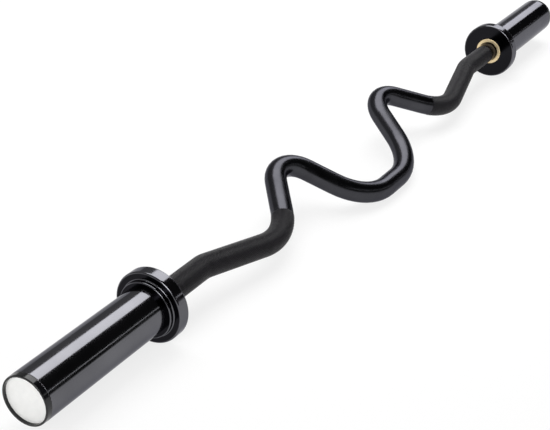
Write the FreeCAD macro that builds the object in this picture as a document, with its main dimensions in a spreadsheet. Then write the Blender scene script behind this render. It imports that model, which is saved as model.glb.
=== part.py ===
import FreeCAD, Part
import math
import os
import Sketcher

# Curl bar with a zigzag shaft and two spinning sleeves, in millimetres.
# X runs along the sleeves and +Z is up. Each piece is drawn about the sleeve axis with the
# bends flat in XY, then laid on the floor as the bar rests there: on two flanges and its middle.
# The origin is the middle of that footprint.

DOC = FreeCAD.newDocument("curl_bar")
SHEET = DOC.addObject("Spreadsheet::Sheet", "Sizes")

SIZES = [
    # shaft, and the runs between its corners along the sleeve axis, from the middle out
    ("shaft_diameter", 25.0, "bent bar, grips and journals alike"),
    ("middle_half", 60.0, "middle of the bar to the first corner"),
    ("hump_step", 55.0, "first corner to the hump's corner"),
    ("valley_step", 93.0, "hump's corner to the corner between the two grips"),
    ("end_step", 122.0, "that corner to the last one, on the sleeve axis"),
    ("neck_length", 80.0, "last corner to the collar's inner face"),
    ("middle_offset", 56.0, "middle run, to the dipped side of the sleeve axis"),
    ("hump_offset", 60.0, "hump's corner, to the other side"),
    ("valley_offset", 30.0, "corner between the two grips, to the dipped side"),
    ("middle_radius", 72.0, "bend beside the middle run"),
    ("hump_radius", 34.0, "tight bend of the hump"),
    ("valley_radius", 67.0, "bend between the two grips"),
    ("end_radius", 41.0, "bend beside the collar"),
    # sleeve and collar
    ("sleeve_length", 190.0, "collar's inner face to the end of the bar"),
    ("sleeve_diameter", 50.0, "tube that the plates slide on"),
    ("hub_step", 4.5, "hub over the tube, on the radius"),
    ("hub_length", 5.0, "hub in front of the flange"),
    ("flange_step", 8.0, "flange over the hub, on the radius"),
    ("flange_thickness", 14.0, "flange that stops the plates"),
    ("collar_web", 6.0, "collar wall in front of the tube"),
    ("flange_round", 2.0, "rounded rims of the flange"),
    ("hub_round", 1.2, "rounded rim and root of the hub"),
    # bushes
    ("bush_clearance", 0.05, "running clearance on the shaft, on the radius"),
    ("bush_wall", 5.45, "wall of both bushes"),
    ("bush_shoulder", 1.0, "step in the tube that a bush seats on"),
    ("inner_bush_length", 40.0, "bush in the collar"),
    ("outer_bush_length", 30.0, "bush near the end cap"),
    ("bush_stand_out", 1.0, "inner bush proud of the collar's face"),
    ("bush_mouth", 0.8, "inner bush's mouth wider than its bore, on the radius"),
    ("bush_mouth_depth", 3.0, "inner bush's wider mouth"),
    ("bush_round", 0.6, "rounded rims of the inner bush's mouth"),
    ("outer_bush_setback", 40.0, "end of the bar to the outer bush"),
    # what holds the sleeve on the shaft
    ("end_play", 0.3, "between bush and thrust washer"),
    ("washer_thickness", 2.0, "thrust washers"),
    ("washer_clearance", 0.1, "washer on the shaft, on the radius"),
    ("washer_room", 0.8, "washer inside the snap ring, on the radius"),
    ("clip_thickness", 1.5, "retaining rings on the shaft"),
    ("clip_room", 2.0, "retaining ring inside the tube, on the radius"),
    ("clip_groove_depth", 0.65, "groove for a retaining ring"),
    ("clip_clearance", 0.05, "ring in its groove, all round"),
    ("clip_gap", 7.0, "opening of a retaining ring"),
    ("lug_diameter", 4.6, "ears of a retaining ring"),
    ("lug_hole", 2.0, "pliers hole in an ear"),
    ("snap_ring_reach", 2.2, "snap ring in from the tube's bore"),
    ("snap_ring_thickness", 1.5, "snap ring in the tube"),
    ("snap_groove_depth", 1.0, "groove for the snap ring"),
    ("snap_ring_gap", 6.0, "opening of the snap ring"),
    ("shaft_tail", 6.0, "shaft beyond its last retaining ring"),
    ("shaft_chamfer", 1.5, "chamfer on the ends of the shaft"),
    # end caps
    ("cap_rim", 6.0, "cap's rim outside the tube"),
    ("cap_taper", 0.4, "rim narrower at its front, on the radius"),
    ("cap_lip", 2.2, "rim round the white plate, on the radius"),
    ("cap_round", 0.8, "rounded front of the cap's rim"),
    ("seam_round", 0.5, "broken edges at the seam between tube and cap"),
    ("cap_skirt_length", 12.0, "cap's skirt inside the tube"),
    ("cap_wall", 2.5, "cap's skirt"),
    ("disc_recess", 3.0, "white plate behind the front of the rim"),
    ("disc_thickness", 0.8, "white round plate in the cap"),
    ("disc_clearance", 0.1, "plate in its recess, on the radius"),
]


def fill_sheet():
    for row, (alias, value, note) in enumerate(SIZES, start=1):
        SHEET.set(f"A{row}", alias)
        SHEET.set(f"B{row}", str(value))
        SHEET.set(f"C{row}", note)
        SHEET.setAlias(f"B{row}", alias)
    DOC.recompute()


fill_sheet()


def size(alias):
    return float(SHEET.get(alias))


# Places along X on the +X end, and radii, each written once as a formula of cells and other formulas
FORMULAS = {
    "hump_x": "middle_half + hump_step",
    "valley_x": "hump_x + valley_step",
    "bend_x": "valley_x + end_step",
    "face_x": "bend_x + neck_length",
    "end_x": "face_x + sleeve_length",
    "web_x": "face_x + collar_web",
    "flange_x": "face_x + flange_thickness",
    "hub_x": "flange_x + hub_length",
    "seam_x": "end_x - cap_rim",
    "skirt_x": "seam_x - cap_skirt_length",
    "plate_x": "end_x - disc_recess",
    "disc_x": "plate_x - disc_thickness",
    "inner_bush_x": "face_x - bush_stand_out",
    "inner_mouth_x": "inner_bush_x + bush_mouth_depth",
    "inner_seat_x": "inner_bush_x + inner_bush_length",
    "outer_bush_x": "end_x - outer_bush_setback",
    "outer_seat_x": "outer_bush_x - outer_bush_length",
    "snap_x": "outer_bush_x + snap_ring_thickness + 2 * clip_clearance",
    "outer_washer_x": "outer_bush_x + end_play",
    "outer_clip_x": "outer_washer_x + washer_thickness",
    "inner_washer_x": "outer_seat_x - end_play - washer_thickness",
    "inner_clip_x": "inner_washer_x - clip_thickness",
    "tail_x": "outer_clip_x + clip_thickness + shaft_tail",
    "shaft_r": "shaft_diameter / 2",
    "sleeve_r": "sleeve_diameter / 2",
    "hub_r": "sleeve_r + hub_step",
    "flange_r": "hub_r + flange_step",
    "bush_bore_r": "shaft_r + bush_clearance",
    "bush_mouth_r": "bush_bore_r + bush_mouth",
    "bush_r": "bush_bore_r + bush_wall",
    "bore_r": "bush_r - bush_shoulder",
    "snap_groove_r": "bush_r + snap_groove_depth",
    "snap_bore_r": "bush_r - snap_ring_reach",
    "washer_bore_r": "shaft_r + washer_clearance",
    "washer_r": "snap_bore_r - washer_room",
    "clip_floor_r": "shaft_r - clip_groove_depth",
    "clip_r": "bore_r - clip_room",
    "skirt_r": "bush_r - cap_wall",
    "cap_front_r": "sleeve_r - cap_taper",
    "recess_r": "sleeve_r - cap_lip",
    "disc_r": "recess_r - disc_clearance",
}


def in_cells(formula):
    """A formula, written as an expression on the sheet's cells."""
    aliases = {alias for alias, _, _ in SIZES}
    words = []
    for word in formula.replace("(", " ( ").replace(")", " ) ").split():
        if word in FORMULAS:
            words.append(f"( {in_cells(FORMULAS[word])} )")
        else:
            words.append(f"Sizes.{word}" if word in aliases else word)
    return " ".join(words)


def value_of(formula):
    """The number that such a formula gives now."""
    return float(SHEET.evalExpression(in_cells(formula)))


def origin_plane(body, role):
    return next(plane for plane in body.Origin.OriginFeatures if plane.Role == role)


def new_sketch(body, name, role):
    sketch = body.newObject("Sketcher::SketchObject", name)
    sketch.AttachmentSupport = (origin_plane(body, role), "")
    sketch.MapMode = "FlatFace"
    return sketch


def fix_point(sketch, geometry, end, x_formula, y_formula):
    """Holds one end of a sketch line at a place given by formulas of the sheet."""
    for kind, formula in (("DistanceX", x_formula), ("DistanceY", y_formula)):
        constraint = Sketcher.Constraint(kind, -1, 1, geometry, end, value_of(formula))
        index = sketch.addConstraint(constraint)
        sketch.setExpression(f"Constraints[{index}]", in_cells(formula))


def outline(sketch, corners):
    """A closed outline whose corners are pairs of formulas."""
    points = [FreeCAD.Vector(value_of(x), value_of(y), 0) for x, y in corners]
    first = sketch.GeometryCount
    for start, end in zip(points, points[1:] + points[:1]):
        sketch.addGeometry(Part.LineSegment(start, end), False)
    count = len(points)
    for i in range(count):
        sketch.addConstraint(Sketcher.Constraint("Coincident", first + i, 2, first + (i + 1) % count, 1))
    for i, (x, y) in enumerate(corners):
        fix_point(sketch, first + i, 1, x, y)


def turned(label, side, corners, rounds=()):
    """A lathe-turned piece about the sleeve axis. Corners are (x, radius) formulas on the +X end,
    side mirrors them, and rounds are (size alias, [(x, radius), ...]) for the rims to round."""
    body = DOC.addObject("PartDesign::Body", label)
    sketch = new_sketch(body, f"{label}_profile", "XY_Plane")
    outline(sketch, [(x if side > 0 else f"-1 * ( {x} )", radius) for x, radius in corners])
    feature = body.newObject("PartDesign::Revolution", f"{label}_turn")
    feature.Profile = sketch
    feature.ReferenceAxis = (sketch, ["H_Axis"])
    feature.Angle = 360
    DOC.recompute()
    for alias, rims in rounds:
        feature = round_rims(body, feature, alias, side, rims)
    return body


def round_rims(body, base, alias, side, rims):
    """Rounds the circular edges of base that lie at the given places."""
    wanted = [(side * value_of(x), value_of(radius)) for x, radius in rims]
    names = []
    for number, edge in enumerate(base.Shape.Edges, start=1):
        if not isinstance(edge.Curve, Part.Circle):
            continue
        here = (edge.Curve.Center.x, edge.Curve.Radius)
        if any(math.dist(here, place) < 0.001 for place in wanted):
            names.append(f"Edge{number}")
    fillet = body.newObject("PartDesign::Fillet", f"{body.Label}_{alias}")
    fillet.Base = (base, names)
    fillet.setExpression("Radius", in_cells(alias))
    DOC.recompute()
    return fillet


# The shaft

def bend_route():
    """Corners of the shaft's centreline from the middle to one end, with the bend radius at each."""
    return [
        (("0", "middle_offset"), None),
        (("middle_half", "middle_offset"), "middle_radius"),
        (("hump_x", "-1 * hump_offset"), "hump_radius"),
        (("valley_x", "valley_offset"), "valley_radius"),
        (("bend_x", "0"), "end_radius"),
        (("tail_x", "0"), None),
    ]


def bend_at(before, corner, after, radius):
    """Where the arc of a bend starts, its middle and end, and its centre."""
    arriving = (corner - before).normalize()
    leaving = (after - corner).normalize()
    half_turn = arriving.getAngle(leaving) / 2
    tangent = radius * math.tan(half_turn)
    start = corner - arriving * tangent
    end = corner + leaving * tangent
    inward = (leaving - arriving).normalize()
    centre = corner + inward * (radius / math.cos(half_turn))
    return start, centre - inward * radius, end, centre


def route_points():
    return [FreeCAD.Vector(value_of(x), value_of(y), 0) for (x, y), _ in bend_route()]


def draw_route(sketch):
    """Straight runs joined by tangent arcs. Each run lies on its two corners and each arc has its radius."""
    points = route_points()
    radii = [alias for _, alias in bend_route()]
    start = points[0]
    runs = []
    arcs = []
    joins = []
    for i in range(1, len(points) - 1):
        arc_start, arc_middle, arc_end, _ = bend_at(points[i - 1], points[i], points[i + 1], size(radii[i]))
        runs.append(sketch.addGeometry(Part.LineSegment(start, arc_start), False))
        arcs.append(sketch.addGeometry(Part.Arc(arc_start, arc_middle, arc_end), False))
        start = arc_end
        # A sketch keeps every arc anticlockwise, so a right-hand bend is met at its far end first
        left_hand = (points[i] - points[i - 1]).cross(points[i + 1] - points[i]).z > 0
        joins.append((1, 2) if left_hand else (2, 1))
    runs.append(sketch.addGeometry(Part.LineSegment(start, points[-1]), False))
    ties = []
    for i, (first, last) in enumerate(joins):
        ties.append(Sketcher.Constraint("Tangent", runs[i], 2, arcs[i], first))
        ties.append(Sketcher.Constraint("Tangent", arcs[i], last, runs[i + 1], 1))
    sketch.addConstraint(ties)
    corners = bend_route()[1:-1]
    for i, ((x, y), alias) in enumerate(corners):
        corner = sketch.addGeometry(Part.Point(points[i + 1]), True)
        sketch.addConstraint([
            Sketcher.Constraint("PointOnObject", corner, 1, runs[i]),
            Sketcher.Constraint("PointOnObject", corner, 1, runs[i + 1]),
        ])
        fix_point(sketch, corner, 1, x, y)
        index = sketch.addConstraint(Sketcher.Constraint("Radius", arcs[i], size(alias)))
        sketch.setExpression(f"Constraints[{index}]", in_cells(alias))
    (first_x, first_y), _ = bend_route()[0]
    (last_x, last_y), _ = bend_route()[-1]
    fix_point(sketch, runs[0], 1, first_x, first_y)
    fix_point(sketch, runs[-1], 2, last_x, last_y)


def make_shaft():
    """Half the bar as a pipe along its bends, with ring grooves and a chamfer at its end, then mirrored."""
    body = DOC.addObject("PartDesign::Body", "shaft")
    route = new_sketch(body, "shaft_route", "XY_Plane")
    draw_route(route)
    section = new_sketch(body, "shaft_section", "YZ_Plane")
    middle = FreeCAD.Vector(size("middle_offset"), 0, 0)
    circle = section.addGeometry(Part.Circle(middle, FreeCAD.Vector(0, 0, 1), value_of("shaft_r")), False)
    fix_point(section, circle, 3, "middle_offset", "0")
    index = section.addConstraint(Sketcher.Constraint("Diameter", circle, size("shaft_diameter")))
    section.setExpression(f"Constraints[{index}]", in_cells("shaft_diameter"))
    DOC.recompute()
    pipe = body.newObject("PartDesign::AdditivePipe", "shaft_half")
    pipe.Profile = section
    pipe.Spine = (route, [f"Edge{i}" for i in range(1, len(route.Shape.Edges) + 1)])
    DOC.recompute()
    cuts = new_sketch(body, "shaft_cuts", "XY_Plane")
    floor = "clip_floor_r"
    clear = "shaft_r + shaft_chamfer"
    for near, far in (
        ("inner_clip_x - clip_clearance", "inner_washer_x + clip_clearance"),
        ("outer_clip_x - clip_clearance", "outer_clip_x + clip_thickness + clip_clearance"),
    ):
        outline(cuts, [(near, floor), (far, floor), (far, clear), (near, clear)])
    outline(cuts, [
        ("tail_x - shaft_chamfer", "shaft_r"),
        ("tail_x", "shaft_r - shaft_chamfer"),
        ("tail_x + shaft_chamfer", clear),
        ("tail_x - shaft_chamfer", clear),
    ])
    groove = body.newObject("PartDesign::Groove", "shaft_grooves")
    groove.Profile = cuts
    groove.ReferenceAxis = (cuts, ["H_Axis"])
    groove.Angle = 360
    DOC.recompute()
    mirrored = body.newObject("PartDesign::Mirrored", "shaft_whole")
    mirrored.Originals = [pipe, groove]
    mirrored.MirrorPlane = (origin_plane(body, "YZ_Plane"), [""])
    body.Tip = mirrored
    DOC.recompute()
    return body


# One sleeve

def make_collar(name, side):
    corners = [
        ("face_x", "bush_r"),
        ("face_x", "flange_r"),
        ("flange_x", "flange_r"),
        ("flange_x", "hub_r"),
        ("hub_x", "hub_r"),
        ("hub_x", "sleeve_r"),
        ("web_x", "sleeve_r"),
        ("web_x", "bush_r"),
    ]
    flange_rims = [("face_x", "flange_r"), ("flange_x", "flange_r")]
    hub_rims = [("hub_x", "hub_r"), ("flange_x", "hub_r")]
    return turned(f"collar_{name}", side, corners, [("flange_round", flange_rims), ("hub_round", hub_rims)])


def make_tube(name, side):
    corners = [
        ("web_x", "bush_r"),
        ("web_x", "sleeve_r"),
        ("seam_x", "sleeve_r"),
        ("seam_x", "bush_r"),
        ("snap_x", "bush_r"),
        ("snap_x", "snap_groove_r"),
        ("outer_bush_x", "snap_groove_r"),
        ("outer_bush_x", "bush_r"),
        ("outer_seat_x", "bush_r"),
        ("outer_seat_x", "bore_r"),
        ("inner_seat_x", "bore_r"),
        ("inner_seat_x", "bush_r"),
    ]
    return turned(f"sleeve_tube_{name}", side, corners, [("seam_round", [("seam_x", "sleeve_r")])])


def make_inner_bush(name, side):
    """The bush in the collar, whose ring shows round the shaft, with a slightly wider mouth."""
    corners = [
        ("inner_bush_x", "bush_mouth_r"),
        ("inner_bush_x", "bush_r"),
        ("inner_seat_x", "bush_r"),
        ("inner_seat_x", "bush_bore_r"),
        ("inner_mouth_x", "bush_bore_r"),
        ("inner_mouth_x", "bush_mouth_r"),
    ]
    mouth_rims = [("inner_bush_x", "bush_mouth_r"), ("inner_bush_x", "bush_r")]
    return turned(f"inner_bush_{name}", side, corners, [("bush_round", mouth_rims)])


def make_outer_bush(name, side):
    corners = [
        ("outer_seat_x", "bush_bore_r"),
        ("outer_seat_x", "bush_r"),
        ("outer_bush_x", "bush_r"),
        ("outer_bush_x", "bush_bore_r"),
    ]
    return turned(f"outer_bush_{name}", side, corners)


def make_washer(label, side, start):
    bore = "washer_bore_r"
    end = f"{start} + washer_thickness"
    outside = "washer_r"
    return turned(label, side, [(start, bore), (start, outside), (end, outside), (end, bore)])


def make_cap(name, side):
    corners = [
        ("skirt_x", "skirt_r"),
        ("skirt_x", "bush_r"),
        ("seam_x", "bush_r"),
        ("seam_x", "sleeve_r"),
        ("end_x", "cap_front_r"),
        ("end_x", "recess_r"),
        ("disc_x", "recess_r"),
        ("disc_x", "0"),
        ("seam_x", "0"),
        ("seam_x", "skirt_r"),
    ]
    rounds = [
        ("cap_round", [("end_x", "cap_front_r")]),
        ("seam_round", [("seam_x", "sleeve_r")]),
    ]
    return turned(f"end_cap_{name}", side, corners, rounds)


def make_disc(name, side):
    corners = [("disc_x", "0"), ("disc_x", "disc_r"), ("plate_x", "disc_r"), ("plate_x", "0")]
    return turned(f"cap_disc_{name}", side, corners)


# Split rings

def cylinder(name, radius, height, x, y="0", z="0"):
    """A cylinder along +X that starts at x."""
    solid = DOC.addObject("Part::Cylinder", name)
    solid.setExpression("Radius", in_cells(radius))
    solid.setExpression("Height", in_cells(height))
    base = FreeCAD.Vector(value_of(x), value_of(y), value_of(z))
    solid.Placement = FreeCAD.Placement(base, FreeCAD.Rotation(FreeCAD.Vector(0, 1, 0), 90))
    return solid


def gap_block(name, width, height, thickness, x):
    """The opening of a split ring, as a block above the sleeve axis."""
    block = DOC.addObject("Part::Box", name)
    block.setExpression("Length", in_cells(thickness))
    block.setExpression("Width", in_cells(width))
    block.setExpression("Height", in_cells(height))
    block.Placement.Base = FreeCAD.Vector(value_of(x), -value_of(width) / 2, 0)
    return block


def fused(name, solids):
    joined = DOC.addObject("Part::MultiFuse", name)
    joined.Shapes = solids
    return joined


def cut(label, base, tool):
    made = DOC.addObject("Part::Cut", label)
    made.Base = base
    made.Tool = tool
    return made


def make_clip(label, x):
    """A retaining ring on the shaft, starting at x: a split ring with an eared opening at the top."""
    thickness = "clip_thickness"
    ring = cylinder(f"{label}_disc", "clip_r", thickness, x)
    inside = "clip_floor_r + clip_clearance"
    bore = cylinder(f"{label}_bore", inside, thickness, x)
    gap = gap_block(f"{label}_gap", "clip_gap", "2 * clip_r", thickness, x)
    lug_y = "clip_gap / 2 + lug_diameter / 2"
    lug_z = "clip_r - lug_diameter / 2"
    lugs = []
    holes = []
    for sign in (1, -1):
        y = f"{sign} * ( {lug_y} )"
        lugs.append(cylinder(f"{label}_lug", "lug_diameter / 2", thickness, x, y, lug_z))
        holes.append(cylinder(f"{label}_hole", "lug_hole / 2", thickness, x, y, lug_z))
    blank = fused(f"{label}_blank", [ring, *lugs])
    cuts = fused(f"{label}_cuts", [bore, gap, *holes])
    return cut(label, blank, cuts)


def make_snap_ring(label, x):
    """A plain split ring in the tube's groove, behind the outer bush."""
    thickness = "snap_ring_thickness"
    outside = "snap_groove_r - clip_clearance"
    ring = cylinder(f"{label}_disc", outside, thickness, x)
    bore = cylinder(f"{label}_bore", "snap_bore_r", thickness, x)
    gap = gap_block(f"{label}_gap", "snap_ring_gap", "2 * bush_r", thickness, x)
    return cut(label, ring, fused(f"{label}_cuts", [bore, gap]))


def span_start(side, start, thickness):
    """The low-X end of a span that starts at start on the +X end, or of its mirror image."""
    return start if side > 0 else f"-1 * ( {start} + {thickness} )"


def make_end(name, side):
    """Everything on one end of the bar except the shaft."""
    pieces = [make_collar(name, side), make_tube(name, side)]
    pieces += [make_inner_bush(name, side), make_outer_bush(name, side)]
    pieces.append(make_washer(f"inner_washer_{name}", side, "inner_washer_x"))
    pieces.append(make_washer(f"outer_washer_{name}", side, "outer_washer_x"))
    inner_clip = span_start(side, "inner_clip_x", "clip_thickness")
    outer_clip = span_start(side, "outer_clip_x", "clip_thickness")
    snap_ring = span_start(side, "outer_bush_x + clip_clearance", "snap_ring_thickness")
    pieces.append(make_clip(f"inner_clip_{name}", inner_clip))
    pieces.append(make_clip(f"outer_clip_{name}", outer_clip))
    pieces.append(make_snap_ring(f"bush_snap_ring_{name}", snap_ring))
    pieces.append(make_cap(name, side))
    pieces.append(make_disc(name, side))
    return pieces


def rest_placement():
    """Lays the bar on the floor: both flanges and the middle run touch it, and the origin is
    under the middle of the bar's box."""
    points = route_points()
    shaft = value_of("shaft_r")
    flange = value_of("flange_r")
    dip = math.asin(min(1, (flange - shaft) / points[0].y))
    hump = bend_at(points[1], points[2], points[3], size("hump_radius"))
    hump_y = (hump[3].y - size("hump_radius")) * math.cos(dip)
    low_y = min(hump_y - shaft, -flange)
    high_y = max(points[0].y * math.cos(dip) + shaft, flange)
    axis = FreeCAD.Vector(0, -(low_y + high_y) / 2, flange)
    return FreeCAD.Placement(axis, FreeCAD.Rotation(FreeCAD.Vector(1, 0, 0), -math.degrees(dip)))


def check(pieces):
    DOC.recompute()
    for item in DOC.Objects:
        if "Invalid" in item.State or "Error" in item.State:
            raise RuntimeError(f"{item.Label} failed: {item.State}")
    for piece in pieces:
        if piece.Shape.isNull() or not piece.Shape.isValid() or not piece.Shape.Solids:
            raise RuntimeError(f"{piece.Label} has no valid solid")


def main():
    pieces = [make_shaft()]
    for name, side in (("right", 1), ("left", -1)):
        pieces += make_end(name, side)
    at_rest = rest_placement()
    for piece in pieces:
        piece.Placement = at_rest
    check(pieces)
    os.makedirs("parts", exist_ok=True)
    for piece in pieces:
        piece.Shape.exportStep(f"parts/{piece.Label}.step")
        print(piece.Label, len(piece.Shape.Solids), round(piece.Shape.Volume, 1))
    print("sleeve axis at", tuple(round(x, 3) for x in at_rest.Base))


main()
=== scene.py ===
import math

import bpy
from mathutils import Matrix, Vector


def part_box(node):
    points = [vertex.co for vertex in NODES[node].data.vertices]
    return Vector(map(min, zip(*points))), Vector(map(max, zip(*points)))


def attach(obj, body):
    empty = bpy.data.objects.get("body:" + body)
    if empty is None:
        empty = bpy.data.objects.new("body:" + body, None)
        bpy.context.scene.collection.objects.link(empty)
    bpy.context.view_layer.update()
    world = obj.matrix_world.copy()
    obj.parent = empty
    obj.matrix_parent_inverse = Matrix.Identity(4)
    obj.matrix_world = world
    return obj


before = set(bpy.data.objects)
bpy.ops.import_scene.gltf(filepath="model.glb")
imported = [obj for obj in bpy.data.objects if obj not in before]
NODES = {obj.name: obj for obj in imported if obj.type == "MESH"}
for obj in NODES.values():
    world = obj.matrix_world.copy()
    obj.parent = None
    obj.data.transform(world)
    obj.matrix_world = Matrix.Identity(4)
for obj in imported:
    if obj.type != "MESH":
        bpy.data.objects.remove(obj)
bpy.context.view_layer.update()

# Curl barbell: the turned and bent pieces keep their solids and get their finishes here, and the
# two knurled grips are raised by geometry nodes along the shaft's own bends. Metres, +Z up.

MM = 0.001

# The sleeve axis runs along X through the middle of each tube
TUBE_LOW, TUBE_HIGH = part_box("sleeve_tube_right")
AXIS_Y = (TUBE_LOW[1] + TUBE_HIGH[1]) / 2
AXIS_Z = (TUBE_LOW[2] + TUBE_HIGH[2]) / 2

# The shaft's bends, from the middle out: corner along X and across the sleeve axis, and radius
SHAFT_RADIUS = 12.5 * MM
MIDDLE_CORNER = (60 * MM, 56 * MM)
BENDS = [
    (MIDDLE_CORNER, 72 * MM),
    ((115 * MM, -60 * MM), 34 * MM),
    ((208 * MM, 30 * MM), 67 * MM),
    ((330 * MM, 0), 41 * MM),
]
# The middle of the shaft dips from the sleeve axis down to the floor
DIP = math.asin((AXIS_Z - SHAFT_RADIUS) / MIDDLE_CORNER[1])
ARC_STEPS = 32

# Knurl: diamonds left by crossed spiral grooves, from beside the collar inwards
KNURL_OUTER_END = 394 * MM
KNURL_LENGTH = 214 * MM
KNURL_STARTS = 36
KNURL_PITCH = 2.2 * MM
# Its heights over the shaft, the length in which its crests rise, and how far its ends sink
KNURL_CREST = 0.38 * MM
KNURL_ROOT = 0.02 * MM
KNURL_RUN_IN = 1.5 * MM
KNURL_SUNK_END = 0.1 * MM

# Finishes: the black coat's colour seen edge-on, how squarely a surface must face along the axis
# to count as a face of the collar, which gets painted shade, and the range that soft noise mostly
# keeps to
COAT_EDGE = "#c4c4c8"
SHADED_FACE_TILT = 0.93
NOISE_RANGE = (0.3, 0.7)

# Camera: where the photograph was taken from, what it looks at, and its lens
EYE = Vector((1.2714, 0.5789, 0.7222))
AIM = Vector((0.1816, 0.0127, 0.0375))
ROLL = math.radians(5.27)
SENSOR_WIDTH = 36.0
LENS = 85.32
SHIFT = (-0.0381, 0.0005)

# Floor: half its width, its paint, and how much of its white is its own
FLOOR_REACH = 12.0
FLOOR_PAINT = "#f4f4f4"
FLOOR_WHITE = 0.8

# Room: the strengths of what the black coat mirrors, and of the fill light
DIM_WALL = 0.3
DARK_CEILING = 0.02
SOFT_FILL = 0.18
# The white backdrop ends between these upward directions, and the wall between these along Y
BACKDROP_EDGE = (0.1, 0.14)
WALL_EDGE = (-0.3, 0.1)

# Lamps: place, what it points at, width and height, and watts
LAMPS = {
    "overhead_softbox": ((-1.9, -0.45, 1.55), (-1.9, 0, 0), (4.8, 1.25), 75),
    "edge_strip": ((-1.9, 1.75, 0.85), (-1.9, 0, 0), (4.8, 0.07), 2),
    "front_softbox": ((2.6, 0.5, 1.3), (0.5, 0, 0), (1.2, 1.2), 34),
}


# Nodes

def connect(tree, node, **inputs):
    """Sets a node's inputs, named by socket, or in_0, in_1 by place. Each takes a value or another
    node's output."""
    for name, value in inputs.items():
        by_place = name.startswith("in_")
        socket = node.inputs[int(name[3:]) if by_place else name.replace("_", " ")]
        if isinstance(value, bpy.types.NodeSocket):
            tree.links.new(value, socket)
        else:
            socket.default_value = value


def add(tree, kind, settings=None, **inputs):
    """Adds a node with its settings and inputs."""
    node = tree.nodes.new(kind)
    for name, value in (settings or {}).items():
        setattr(node, name, value)
    connect(tree, node, **inputs)
    return node


def maths(tree, operation, first, second=0.0):
    return add(tree, "ShaderNodeMath", {"operation": operation}, in_0=first, in_1=second).outputs[0]


def remap(tree, value, before, after):
    """Maps a value from one range to another, and holds it at the ends."""
    mapped = add(tree, "ShaderNodeMapRange", Value=value, From_Min=before[0], From_Max=before[1],
                 To_Min=after[0], To_Max=after[1])
    return mapped.outputs["Result"]


# Materials

def srgb(hex_colour):
    """A hex colour as linear RGBA."""
    channels = [int(hex_colour[i:i + 2], 16) / 255 for i in (1, 3, 5)]
    linear = [c / 12.92 if c <= 0.04045 else ((c + 0.055) / 1.055) ** 2.4 for c in channels]
    return (*linear, 1.0)


def new_material(name):
    """An empty material, its tree, its shader and its object coordinates."""
    material = bpy.data.materials.new(name)
    material.use_nodes = True
    tree = material.node_tree
    place = add(tree, "ShaderNodeTexCoord").outputs["Object"]
    return material, tree, tree.nodes["Principled BSDF"], place


def noise(tree, place, size, detail):
    """Noise of a real size."""
    texture = add(tree, "ShaderNodeTexNoise", Vector=place, Scale=1 / size, Detail=detail)
    return texture.outputs["Fac"]


def mottle(tree, place, size, low=0.0, high=1.0):
    """Soft noise of a real size, spread from low to high."""
    return remap(tree, noise(tree, place, size, detail=3.0), NOISE_RANGE, (low, high))


def two_colours(tree, factor, low, high):
    """Blends two hex colours by a factor."""
    ramp = add(tree, "ShaderNodeValToRGB", Fac=factor)
    ramp.color_ramp.elements[0].color = srgb(low)
    ramp.color_ramp.elements[1].color = srgb(high)
    return ramp.outputs["Color"]


def bump(tree, height, depth):
    """Surface relief of a real depth."""
    relief = add(tree, "ShaderNodeBump", Height=height, Distance=depth, Strength=1.0)
    return relief.outputs["Normal"]


def off_axis(tree, place):
    """Distance from the sleeve axis, for marks that a lathe leaves in circles on a face."""
    centred = add(tree, "ShaderNodeMapping", {"vector_type": "POINT"}, Vector=place,
                  Location=(0, -AXIS_Y, -AXIS_Z), Scale=(0, 1, 1)).outputs["Vector"]
    distance = add(tree, "ShaderNodeVectorMath", {"operation": "LENGTH"}, in_0=centred)
    return distance.outputs["Value"]


def along_axis(tree, vector):
    """The part of a vector that runs along the sleeve axis."""
    return add(tree, "ShaderNodeSeparateXYZ", Vector=vector).outputs["X"]


def faces_square_to_axis_for_painted_shade(tree):
    """1 on faces that lie square to the sleeve axis, where the collar's painted shade goes, 0 on
    barrels and rounded rims.
    """
    normal = add(tree, "ShaderNodeTexCoord").outputs["Normal"]
    tilt = maths(tree, "ABSOLUTE", along_axis(tree, normal))
    return remap(tree, tilt, (SHADED_FACE_TILT, 1.0), (0.0, 1.0))


def turning_marks(tree, distance, spacing):
    """Uneven lathe lines of a real spacing along a distance."""
    scaled = maths(tree, "MULTIPLY", distance, 1 / spacing)
    lines = add(tree, "ShaderNodeTexNoise", {"noise_dimensions": "1D"}, W=scaled, Scale=1.0,
                Detail=2.0)
    return lines.outputs["Fac"]


def gloss_black_bar():
    """Gloss black coat on bar stock: a dark mirror, black where the room is dark and grey where it
    meets the white floor, slightly uneven."""
    material, tree, shader, place = new_material("gloss_black_coat_on_bar")
    connect(
        tree, shader, Metallic=1.0, Specular_Tint=srgb(COAT_EDGE),
        Base_Color=two_colours(tree, mottle(tree, place, 30 * MM), "#3b3b3f", "#454549"),
        Roughness=mottle(tree, place, 18 * MM, 0.2, 0.28),
        Normal=bump(tree, noise(tree, place, 9 * MM, detail=1.0), 0.03 * MM),
    )
    return material


def gloss_black_tube():
    """Gloss black coat on a turned tube: a dark mirror with faint lines round it from the lathe.
    The lines are drawn coarser than real so that they show."""
    material, tree, shader, place = new_material("gloss_black_coat_on_turned_tube")
    marks = turning_marks(tree, along_axis(tree, place), 2.5 * MM)
    connect(
        tree, shader, Metallic=1.0, Specular_Tint=srgb(COAT_EDGE),
        Base_Color=two_colours(tree, mottle(tree, place, 45 * MM), "#606064", "#68686c"),
        Roughness=mottle(tree, place, 25 * MM, 0.1, 0.15),
        Normal=bump(tree, marks, 0.0012 * MM),
    )
    return material


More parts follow.
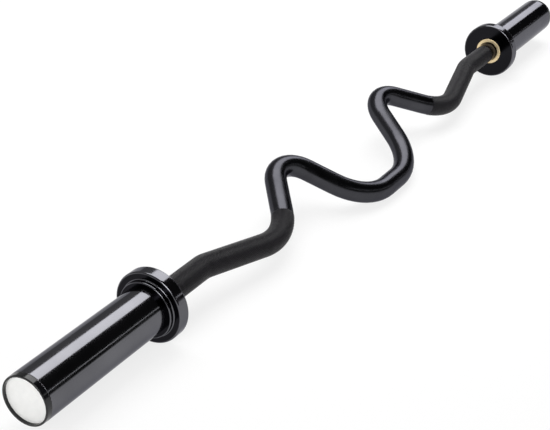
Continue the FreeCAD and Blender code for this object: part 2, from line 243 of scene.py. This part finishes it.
def gloss_black_collar():
    """Gloss black coat on a turned collar: polished rims that mirror like the tube, and faces with
    circular lathe marks that are painted darker, a painted shade for the dark reflection they show."""
    material, tree, shader, place = new_material("gloss_black_coat_on_turned_collar")
    marks = turning_marks(tree, off_axis(tree, place), 1.1 * MM)
    connect(
        tree, shader, Metallic=1.0, Specular_Tint=srgb(COAT_EDGE),
        # Faces square to the axis take the darker colour: painted shade for the shaded floor they
        # mirror
        Base_Color=two_colours(tree, faces_square_to_axis_for_painted_shade(tree), "#606064", "#1f1f22"),
        Roughness=mottle(tree, place, 20 * MM, 0.1, 0.16),
        Normal=bump(tree, marks, 0.008 * MM),
    )
    return material


def turned_bronze():
    """Sintered bronze bush, turned: pale gold with fine circles and slightly darker pores."""
    material, tree, shader, place = new_material("turned_sintered_bronze")
    marks = turning_marks(tree, off_axis(tree, place), 0.8 * MM)
    pores = mottle(tree, place, 0.9 * MM)
    mark_share = 0.7
    blend = add(tree, "ShaderNodeMath", {"operation": "MULTIPLY_ADD", "use_clamp": True},
                in_0=marks, in_1=mark_share, in_2=pores).outputs[0]
    connect(
        tree, shader, Metallic=1.0,
        Base_Color=two_colours(tree, blend, "#d6b070", "#f6e4bc"),
        Roughness=mottle(tree, place, 4 * MM, 0.46, 0.58),
        Normal=bump(tree, marks, 0.01 * MM),
    )
    return material


def ground_steel():
    """Ground thrust washer: bright steel, finely mottled."""
    material, tree, shader, place = new_material("ground_washer_steel")
    connect(
        tree, shader, Metallic=1.0,
        Base_Color=two_colours(tree, mottle(tree, place, 1.5 * MM), "#8f9196", "#b9bbc0"),
        Roughness=mottle(tree, place, 3 * MM, 0.25, 0.4),
    )
    return material


def oiled_spring_steel():
    """Phosphated and oiled retaining ring: dark grey with an uneven sheen."""
    material, tree, shader, place = new_material("phosphated_spring_steel")
    connect(
        tree, shader, Metallic=0.8,
        Base_Color=two_colours(tree, mottle(tree, place, 2 * MM), "#26262a", "#3c3c42"),
        Roughness=mottle(tree, place, 4 * MM, 0.35, 0.5),
    )
    return material


def moulded_cap():
    """Moulded ABS end cap: black and glossy, with a slight moulding ripple."""
    material, tree, shader, place = new_material("moulded_black_abs")
    connect(
        tree, shader, Specular_IOR_Level=0.4,
        Base_Color=two_colours(tree, mottle(tree, place, 12 * MM), "#0b0b0d", "#141417"),
        Roughness=mottle(tree, place, 8 * MM, 0.08, 0.14),
        Normal=bump(tree, noise(tree, place, 5 * MM, detail=2.0), 0.015 * MM),
    )
    return material


def white_laminate():
    """White laminated plate: clean and half matt, barely mottled."""
    material, tree, shader, place = new_material("white_laminate")
    connect(
        tree, shader,
        Base_Color=two_colours(tree, mottle(tree, place, 9 * MM), "#f0f0ee", "#f6f6f4"),
        Roughness=mottle(tree, place, 6 * MM, 0.38, 0.5),
    )
    return material


def knurled_black():
    """Black coat on the knurl: dull charcoal, because its diamonds scatter the light. The grooves
    are painted darker than the crests as painted shade, and the crests' mottled paleness is wear."""
    material, tree, shader, place = new_material("black_coat_on_knurl")
    crest = add(tree, "ShaderNodeAttribute", {"attribute_name": "crest"}).outputs["Fac"]
    # Crests paler than grooves: painted shade in the grooves, with mottled wear on the crests
    crest_wear_and_groove_shade = maths(tree, "MULTIPLY", crest, mottle(tree, place, 5 * MM, 0.45, 1.0))
    connect(
        tree, shader, Specular_IOR_Level=0.22,
        Base_Color=two_colours(tree, crest_wear_and_groove_shade, "#0a090b", "#26232b"),
        Roughness=mottle(tree, place, 7 * MM, 0.34, 0.46),
    )
    return material


def dress(node, material):
    """Gives a CAD node its finish."""
    mesh = NODES[node].data
    mesh.materials.clear()
    mesh.materials.append(material)


def dress_all():
    bronze = turned_bronze()
    washer_steel = ground_steel()
    spring_steel = oiled_spring_steel()
    finishes = {
        "sleeve_tube": gloss_black_tube(),
        "collar": gloss_black_collar(),
        "inner_bush": bronze,
        "outer_bush": bronze,
        "inner_washer": washer_steel,
        "outer_washer": washer_steel,
        "inner_clip": spring_steel,
        "outer_clip": spring_steel,
        "bush_snap_ring": spring_steel,
        "end_cap": moulded_cap(),
        "cap_disc": white_laminate(),
    }
    dress("shaft", gloss_black_bar())
    for side in ("left", "right"):
        for piece, material in finishes.items():
            dress(f"{piece}_{side}", material)


# Knurled grips

def store(tree, geometry, name, value):
    """Keeps a number on each point under a name."""
    kept = add(tree, "GeometryNodeStoreNamedAttribute", {"data_type": "FLOAT", "domain": "POINT"},
               Geometry=geometry, Name=name, Value=value)
    return kept.outputs["Geometry"]


def stored(tree, name):
    """Reads a number back by its name."""
    read = add(tree, "GeometryNodeInputNamedAttribute", {"data_type": "FLOAT"}, Name=name)
    return read.outputs[0]


def knurl_sockets(tree):
    """Declares what the knurl takes and gives, with its sizes as defaults."""
    lengths = {
        "Length": KNURL_LENGTH,
        "Base Radius": SHAFT_RADIUS,
        "Crest Height": KNURL_CREST,
        "Root Height": KNURL_ROOT,
        "Run In": KNURL_RUN_IN,
        "Pitch": KNURL_PITCH,
    }
    new_socket = tree.interface.new_socket
    new_socket("Route", in_out="INPUT", socket_type="NodeSocketGeometry")
    for name, value in lengths.items():
        new_socket(name, in_out="INPUT", socket_type="NodeSocketFloat").default_value = value
    starts = new_socket("Starts", in_out="INPUT", socket_type="NodeSocketInt")
    starts.default_value = KNURL_STARTS
    new_socket("Finish", in_out="INPUT", socket_type="NodeSocketMaterial")
    new_socket("Knurl", in_out="OUTPUT", socket_type="NodeSocketGeometry")


def gripped_centreline(tree, given):
    """The shaft's centreline over the gripped length, in steps of half a pitch."""
    rounded = add(tree, "GeometryNodeFilletCurve", {"mode": "POLY"}, Curve=given["Route"],
                  Count=ARC_STEPS, Radius=add(tree, "GeometryNodeInputRadius").outputs[0])
    even = add(tree, "GeometryNodeSetCurveRadius", Curve=rounded.outputs["Curve"], Radius=1.0)
    # Inputs 4 and 5 are the start and the end as lengths
    gripped = add(tree, "GeometryNodeTrimCurve", {"mode": "LENGTH"}, Curve=even.outputs["Curve"],
                  in_4=0.0, in_5=given["Length"])
    half_pitch = maths(tree, "DIVIDE", given["Pitch"], 2.0)
    spans = maths(tree, "ROUND", maths(tree, "DIVIDE", given["Length"], half_pitch))
    stepped = add(tree, "GeometryNodeResampleCurve", {"mode": "COUNT"},
                  Curve=gripped.outputs["Curve"], Count=maths(tree, "ADD", spans, 1.0))
    run = add(tree, "GeometryNodeSplineParameter").outputs
    rows = store(tree, stepped.outputs["Curve"], "row", run["Index"])
    return store(tree, rows, "reach", run["Length"])


def knurl_ring(tree, given):
    """The ring that is swept, with two points for each start of the knurl."""
    points = maths(tree, "MULTIPLY", given["Starts"], 2.0)
    ring = add(tree, "GeometryNodeCurvePrimitiveCircle", {"mode": "RADIUS"}, Resolution=points,
               Radius=given["Base Radius"])
    index = add(tree, "GeometryNodeInputIndex").outputs[0]
    return store(tree, ring.outputs["Curve"], "column", index)


def knurl_heights(tree, given):
    """How much of a crest each point of the skin is, and its rise over the shaft. Every other point
    is a crest, and the crests die away at both ends."""
    row, reach, column = (stored(tree, name) for name in ("row", "reach", "column"))
    odd = maths(tree, "FLOORED_MODULO", maths(tree, "ROUND", maths(tree, "ADD", row, column)), 2.0)
    to_end = maths(tree, "MINIMUM", reach, maths(tree, "SUBTRACT", given["Length"], reach))
    faded = maths(tree, "MINIMUM", maths(tree, "DIVIDE", to_end, given["Run In"]), 1.0)
    crest = maths(tree, "MULTIPLY", odd, faded)
    sunk = maths(tree, "MULTIPLY", maths(tree, "SUBTRACT", 1.0, faded), -KNURL_SUNK_END)
    root = maths(tree, "ADD", given["Root Height"], sunk)
    rise = maths(tree, "ADD", maths(tree, "MULTIPLY", crest, given["Crest Height"]), root)
    return crest, rise


def knurl_tree():
    """Sweeps a ring along the gripped centreline, and raises its skin in diamonds."""
    tree = bpy.data.node_groups.new("diamond_knurl", "GeometryNodeTree")
    knurl_sockets(tree)
    given = add(tree, "NodeGroupInput").outputs
    tube = add(tree, "GeometryNodeCurveToMesh", Curve=gripped_centreline(tree, given),
               Profile_Curve=knurl_ring(tree, given), Fill_Caps=True)
    crest, rise = knurl_heights(tree, given)
    marked = store(tree, tube.outputs["Mesh"], "crest", crest)
    outward = add(tree, "ShaderNodeVectorMath", {"operation": "SCALE"},
                  in_0=add(tree, "GeometryNodeInputNormal").outputs[0], Scale=rise)
    raised = add(tree, "GeometryNodeSetPosition", Geometry=marked,
                 Offset=outward.outputs["Vector"])
    cut = add(tree, "GeometryNodeTriangulate", Mesh=raised.outputs["Geometry"])
    flat = add(tree, "GeometryNodeSetShadeSmooth", Geometry=cut.outputs["Mesh"], Shade_Smooth=False)
    solid = add(tree, "GeometryNodeRealizeInstances", Geometry=flat.outputs["Geometry"])
    finished = add(tree, "GeometryNodeSetMaterial", Geometry=solid.outputs["Geometry"],
                   Material=given["Finish"])
    add(tree, "NodeGroupOutput", Knurl=finished.outputs["Geometry"])
    return tree


def bar_to_floor(x, across):
    """A point of the flat bend drawing, where it lies with the bar at rest."""
    return Vector((x, AXIS_Y + across * math.cos(DIP), AXIS_Z - across * math.sin(DIP)))


def grip_route(name, side):
    """The shaft's corners from the collar in to the middle, each with its bend radius."""
    corners = [((KNURL_OUTER_END, 0), 0.0)] + BENDS[::-1] + [((0, MIDDLE_CORNER[1]), 0.0)]
    curve = bpy.data.curves.new(name, "CURVE")
    curve.dimensions = "3D"
    spline = curve.splines.new("POLY")
    spline.points.add(len(corners) - 1)
    for point, ((x, across), radius) in zip(spline.points, corners):
        point.co = (*bar_to_floor(side * x, across), 1.0)
        point.radius = radius
    return curve


def knurled_grip(side_name, side, tree, material):
    """A grip's knurl as a mesh of its own, which rides on the bar."""
    curve = grip_route(f"grip_route_{side_name}", side)
    route = bpy.data.objects.new(f"knurled_grip_{side_name}_route", curve)
    bpy.context.collection.objects.link(route)
    modifier = route.modifiers.new("knurl", "NODES")
    modifier.node_group = tree
    items = tree.interface.items_tree
    sockets = {item.name: item.identifier for item in items if item.in_out == "INPUT"}
    modifier[sockets["Finish"]] = material
    evaluated = route.evaluated_get(bpy.context.evaluated_depsgraph_get())
    mesh = bpy.data.meshes.new_from_object(evaluated)
    grip = bpy.data.objects.new(f"knurled_grip_{side_name}", mesh)
    bpy.data.objects.remove(route)
    bpy.context.collection.objects.link(grip)
    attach(grip, "bar")


def add_grips():
    tree = knurl_tree()
    material = knurled_black()
    for side_name, side in (("left", -1), ("right", 1)):
        knurled_grip(side_name, side, tree, material)


# Floor, light and camera

def reflected(tree, rays):
    """1 for a ray that a mirror or a clear piece sends on."""
    return maths(tree, "MAXIMUM", rays["Is Glossy Ray"], rays["Is Transmission Ray"])


def studio_floor():
    """White studio floor: matt paint that takes shadows, mixed with a white of its own."""
    material = bpy.data.materials.new("white_studio_floor")
    material.use_nodes = True
    tree = material.node_tree
    tree.nodes.clear()
    paint = add(tree, "ShaderNodeBsdfDiffuse", Color=srgb(FLOOR_PAINT))
    glow = add(tree, "ShaderNodeEmission", Color=(1, 1, 1, 1), Strength=1.0)
    rays = add(tree, "ShaderNodeLightPath").outputs
    seen = maths(tree, "MAXIMUM", rays["Is Camera Ray"], reflected(tree, rays))
    share = maths(tree, "MULTIPLY", seen, FLOOR_WHITE)
    mix = add(tree, "ShaderNodeMixShader", in_0=share, in_1=paint.outputs[0], in_2=glow.outputs[0])
    add(tree, "ShaderNodeOutputMaterial", Surface=mix.outputs[0])
    return material


def add_floor():
    near, far = -FLOOR_REACH, FLOOR_REACH
    corners = [(near, near, 0), (far, near, 0), (far, far, 0), (near, far, 0)]
    mesh = bpy.data.meshes.new("floor")
    mesh.from_pydata(corners, [], [(0, 1, 2, 3)])
    mesh.materials.append(studio_floor())
    floor = bpy.data.objects.new("floor", mesh)
    bpy.context.collection.objects.link(floor)


def add_room():
    """A white room to the camera. In the black coat it is a white backdrop near the floor, a dim
    wall behind the bar and a dark ceiling."""
    world = bpy.data.worlds.new("studio")
    bpy.context.scene.world = world
    world.use_nodes = True
    tree = world.node_tree
    tree.nodes.clear()
    rays = add(tree, "ShaderNodeLightPath").outputs
    direction = add(tree, "ShaderNodeTexCoord").outputs["Generated"]
    towards = add(tree, "ShaderNodeSeparateXYZ", Vector=direction).outputs
    backdrop = remap(tree, towards["Z"], BACKDROP_EDGE, (1.0, 0.0))
    wall = remap(tree, towards["Y"], WALL_EDGE, (DIM_WALL, DARK_CEILING))
    mirrored = maths(tree, "MAXIMUM", backdrop, wall)
    unseen = remap(tree, reflected(tree, rays), (0.0, 1.0), (SOFT_FILL, mirrored))
    strength = remap(tree, rays["Is Camera Ray"], (0.0, 1.0), (unseen, 1.0))
    sky = add(tree, "ShaderNodeBackground", Color=(1, 1, 1, 1), Strength=strength)
    add(tree, "ShaderNodeOutputWorld", Surface=sky.outputs[0])


def add_lamp(name, place, aim, size, power):
    lamp = bpy.data.lights.new(name, "AREA")
    lamp.shape = "RECTANGLE"
    lamp.size, lamp.size_y = size
    lamp.energy = power
    item = bpy.data.objects.new(name, lamp)
    bpy.context.collection.objects.link(item)
    item.location = place
    item.rotation_euler = (Vector(aim) - Vector(place)).to_track_quat("-Z", "Y").to_euler()


def add_camera():
    camera = bpy.data.cameras.new("photograph")
    camera.sensor_fit = "HORIZONTAL"
    camera.sensor_width = SENSOR_WIDTH
    camera.lens = LENS
    camera.shift_x, camera.shift_y = SHIFT
    item = bpy.data.objects.new("photograph", camera)
    bpy.context.collection.objects.link(item)
    level = (AIM - EYE).to_track_quat("-Z", "Y").to_matrix()
    turn = level @ Matrix.Rotation(ROLL, 3, "Z")
    item.matrix_world = Matrix.Translation(EYE) @ turn.to_4x4()
    bpy.context.scene.camera = item


def main():
    bpy.context.scene.view_settings.view_transform = "Standard"
    dress_all()
    add_grips()
    add_floor()
    add_room()
    for name, lamp in LAMPS.items():
        add_lamp(name, *lamp)
    add_camera()


main()
